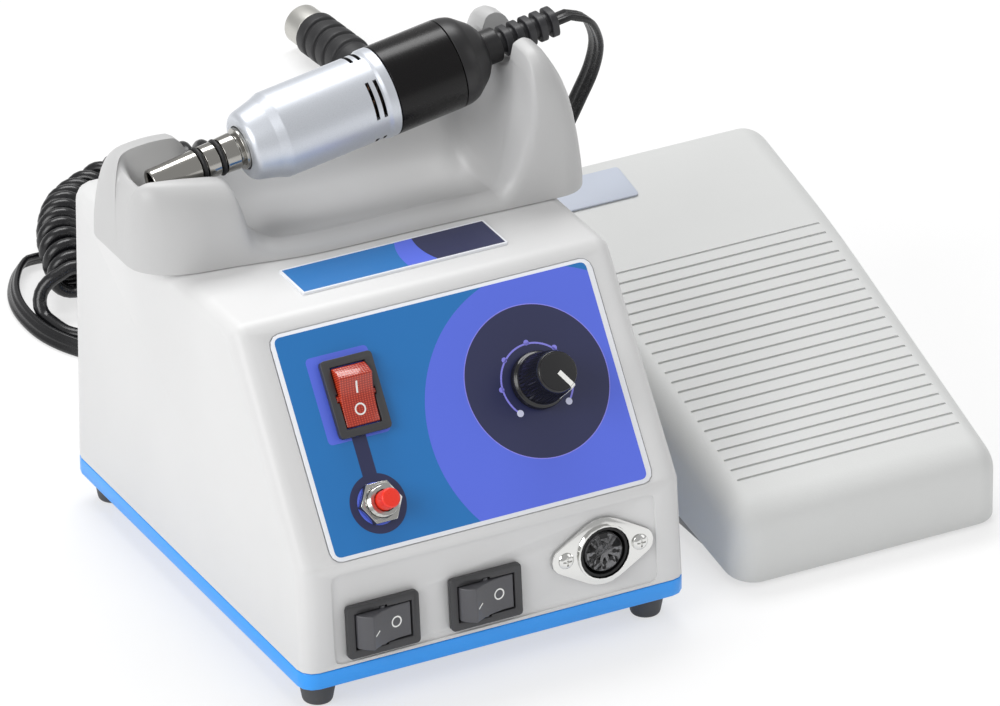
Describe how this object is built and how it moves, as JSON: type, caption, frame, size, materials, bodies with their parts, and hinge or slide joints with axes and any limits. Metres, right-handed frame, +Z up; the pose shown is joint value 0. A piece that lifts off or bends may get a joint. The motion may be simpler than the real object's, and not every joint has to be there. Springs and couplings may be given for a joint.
{
  "type": "dental lab micromotor",
  "caption": "Bench motor set: sloped control unit with a cradle on top holding a straight motor handpiece on a curly lead, and a hinged foot pedal beside it.",
  "frame": {"origin": "on the table, below the middle of the control unit and the pedal together, measured without the cord", "axes": "+X to the operator's right, from the control unit to the pedal; +Y away from the operator; +Z up"},
  "size_m": [0.2212, 0.354, 0.1434],
  "materials": {
    "case_grey": "fine satin moulded plastic",
    "tray_blue": "satin sky blue moulded plastic",
    "black_rubber": "matt black rubber",
    "film_blue": "printed polyester film",
    "cradle_grey": "satin grey moulded plastic",
    "switch_black": "black moulded plastic",
    "rocker_red": "clear red moulded plastic",
    "rocker_black": "black moulded plastic",
    "knob_black": "black moulded plastic with a white pointer",
    "plated_steel": "nickel plated steel",
    "bright_chrome": "polished chrome plate",
    "button_red": "red moulded plastic",
    "insert_grey": "dark grey moulded insulator",
    "core_steel": "stacked electrical steel, varnished",
    "copper": "enamelled copper wire and copper bars",
    "board_green": "solder-masked board",
    "capacitor_blue": "sleeved aluminium can",
    "bare_aluminium": "extruded aluminium",
    "nose_steel": "polished turned steel",
    "housing_silver": "pearl silver lacquered aluminium",
    "sleeve_black": "glossy black moulded plastic",
    "relief_rubber": "black moulded rubber",
    "magnet_grey": "sintered magnet",
    "holder_brown": "brown moulded insulator",
    "carbon": "pressed carbon",
    "cord_black": "black extruded sheath",
    "tread_grey": "light grey moulded plastic, fine grain",
    "pan_grey": "grey painted steel plate",
    "label_silver": "silver plate, left blank",
    "slider_white": "white acetal",
    "resistor_grey": "moulded slide resistor case"
  },
  "bodies": {
    "control_unit": {"case_shell": "case_grey", "base_tray": "tray_blue", "foot_front_left": "black_rubber", "foot_front_right": "black_rubber", "foot_back_left": "black_rubber", "foot_back_right": "black_rubber", "control_panel_film": "film_blue", "name_strip_film": "film_blue", "handpiece_cradle": "cradle_grey", "power_switch_body": "switch_black", "mode_switch_body": "switch_black", "direction_switch_body": "switch_black", "breaker_body": "plated_steel", "breaker_nut": "plated_steel", "speed_potentiometer": "plated_steel", "potentiometer_nut": "plated_steel", "motor_socket_flange": "bright_chrome", "motor_socket_insert": "insert_grey", "mains_gland": "relief_rubber", "fuse_holder": "switch_black", "pedal_jack": "plated_steel", "transformer_core": "core_steel", "transformer_winding": "copper", "circuit_board": "board_green", "smoothing_capacitor": "capacitor_blue", "heat_sink": "bare_aluminium", "pedal_base": "pan_grey", "pedal_pin": "plated_steel", "pedal_resistor": "resistor_grey", "pedal_spring": "plated_steel", "cord_lead": "cord_black", "cord_curls": "cord_black", "plug_grip": "sleeve_black", "plug_shell": "bright_chrome"},
    "handpiece": {"motor_nose": "nose_steel", "nose_ring_front": "black_rubber", "nose_ring_rear": "black_rubber", "motor_housing": "housing_silver", "rear_sleeve": "sleeve_black", "rear_cap": "sleeve_black", "cord_relief": "relief_rubber", "ring_magnet": "magnet_grey", "front_bearing": "plated_steel", "rear_bearing": "plated_steel", "brush_holder": "holder_brown", "brush_upper": "carbon", "brush_lower": "carbon"},
    "rotor": {"rotor_shaft": "plated_steel", "armature": "copper", "commutator": "copper"},
    "speed_dial": {"speed_knob": "knob_black", "potentiometer_shaft": "plated_steel"},
    "power_toggle": {"power_rocker": "rocker_red"},
    "mode_toggle": {"mode_rocker": "rocker_black"},
    "direction_toggle": {"direction_rocker": "rocker_black"},
    "reset_button": {"breaker_button": "button_red"},
    "foot_tread": {"pedal_tread": "tread_grey", "pedal_label": "label_silver"},
    "foot_slider": {"pedal_slider": "slider_white"}
  },
  "joints": [
    {"name": "handpiece_lift", "type": "slide", "parent": "control_unit", "child": "handpiece", "axis": [-0.1633, 0, 0.9866], "range_m": [0, 0.06]},
    {"name": "rotor_spin", "type": "hinge", "parent": "handpiece", "child": "rotor", "pos_m": [-0.1019, 0.01715, 0.1167], "axis": [0.9866, 0, 0.1633], "continuous": true},
    {"name": "speed_turn", "type": "hinge", "parent": "control_unit", "child": "speed_dial", "pos_m": [-0.0227, -0.04897, 0.06939], "axis": [0, -0.8079, 0.5893], "range_deg": [0, 290]},
    {"name": "power_rock", "type": "hinge", "parent": "control_unit", "child": "power_toggle", "pos_m": [-0.0742, -0.04533, 0.07676], "axis": [-1, 0, 0], "range_deg": [0, 22]},
    {"name": "mode_rock", "type": "hinge", "parent": "control_unit", "child": "mode_toggle", "pos_m": [-0.0799, -0.07105, 0.02266], "axis": [0, -0.0825, -0.9966], "range_deg": [0, 22]},
    {"name": "direction_rock", "type": "hinge", "parent": "control_unit", "child": "direction_toggle", "pos_m": [-0.0497, -0.07104, 0.02279], "axis": [0, -0.0825, -0.9966], "range_deg": [0, 22]},
    {"name": "reset_push", "type": "slide", "parent": "control_unit", "child": "reset_button", "axis": [0, 0.8079, -0.5893], "range_m": [0, 0.003], "stiffness_N_per_m": 400, "springref_m": -0.002},
    {"name": "pedal_press", "type": "hinge", "parent": "control_unit", "child": "foot_tread", "pos_m": [0.0701, -0.05335, 0.009], "axis": [-1, 0, 0], "range_deg": [0, 8], "stiffness_Nm_per_rad": 5, "springref_deg": -5.73, "deforming": ["pedal_spring"]},
    {"name": "pedal_slide", "type": "slide", "parent": "control_unit", "child": "foot_slider", "axis": [0, 0, 1], "range_m": [-0.0095, 0]}
  ],
  "couplings": [
    {"joint": "pedal_slide", "follows": "pedal_press", "m_per_rad": -0.0664}
  ]
}
